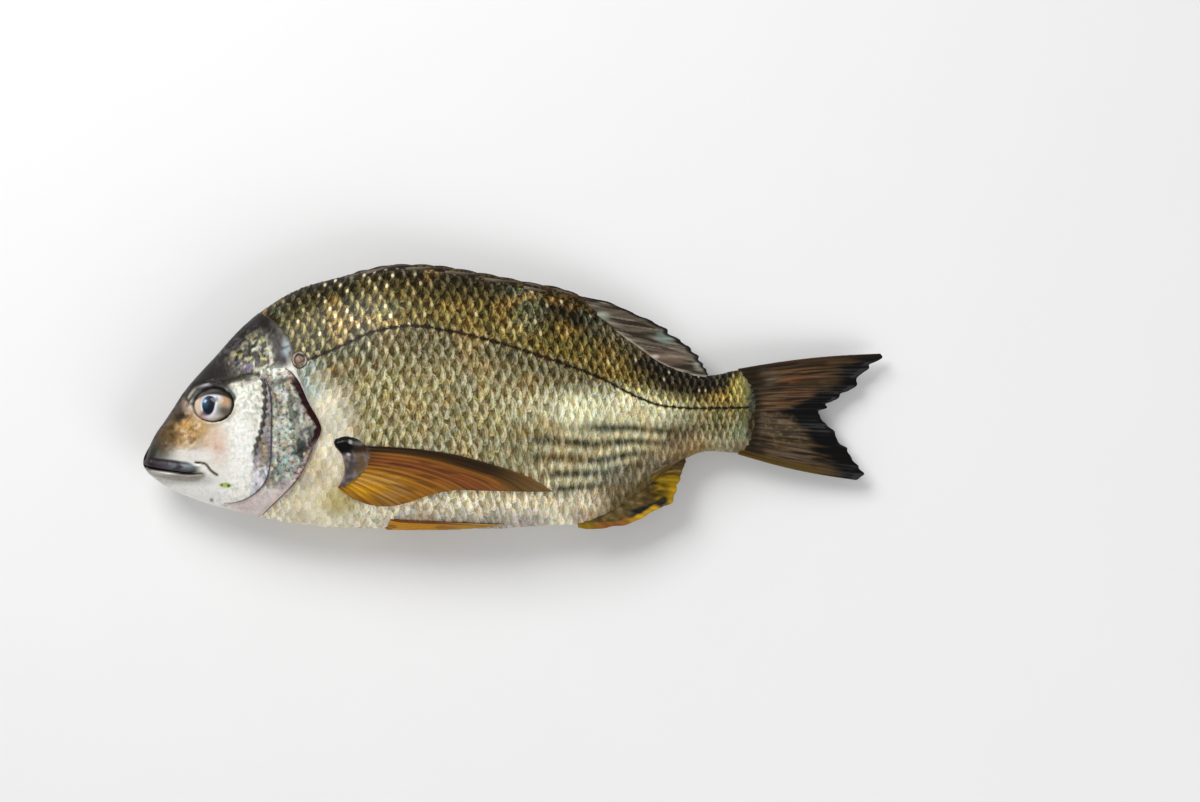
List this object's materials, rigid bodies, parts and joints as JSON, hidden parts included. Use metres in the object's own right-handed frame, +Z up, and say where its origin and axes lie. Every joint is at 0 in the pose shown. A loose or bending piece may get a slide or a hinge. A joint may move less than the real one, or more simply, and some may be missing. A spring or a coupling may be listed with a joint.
{
  "type": "whole raw fish",
  "caption": "Whole raw deep-bodied sea fish lying on its right side, with gill covers, folded back fin, side fins and forked tail.",
  "frame": {"origin": "under the middle of the fish's box, on the surface that it lies on", "axes": "+X from the snout to the tail, +Y from the belly to the back, +Z up from the surface towards the shown left side"},
  "size_m": [0.32, 0.115, 0.0411],
  "materials": {
    "skin": "wet scaled skin, olive gold on the back to silver on the belly",
    "eye": "wet and clear over a dark pupil and a silver iris"
  },
  "bodies": {
    "root": {"fish": "skin", "eye_left": "eye", "eye_right": "eye"}
  },
  "joints": []
}
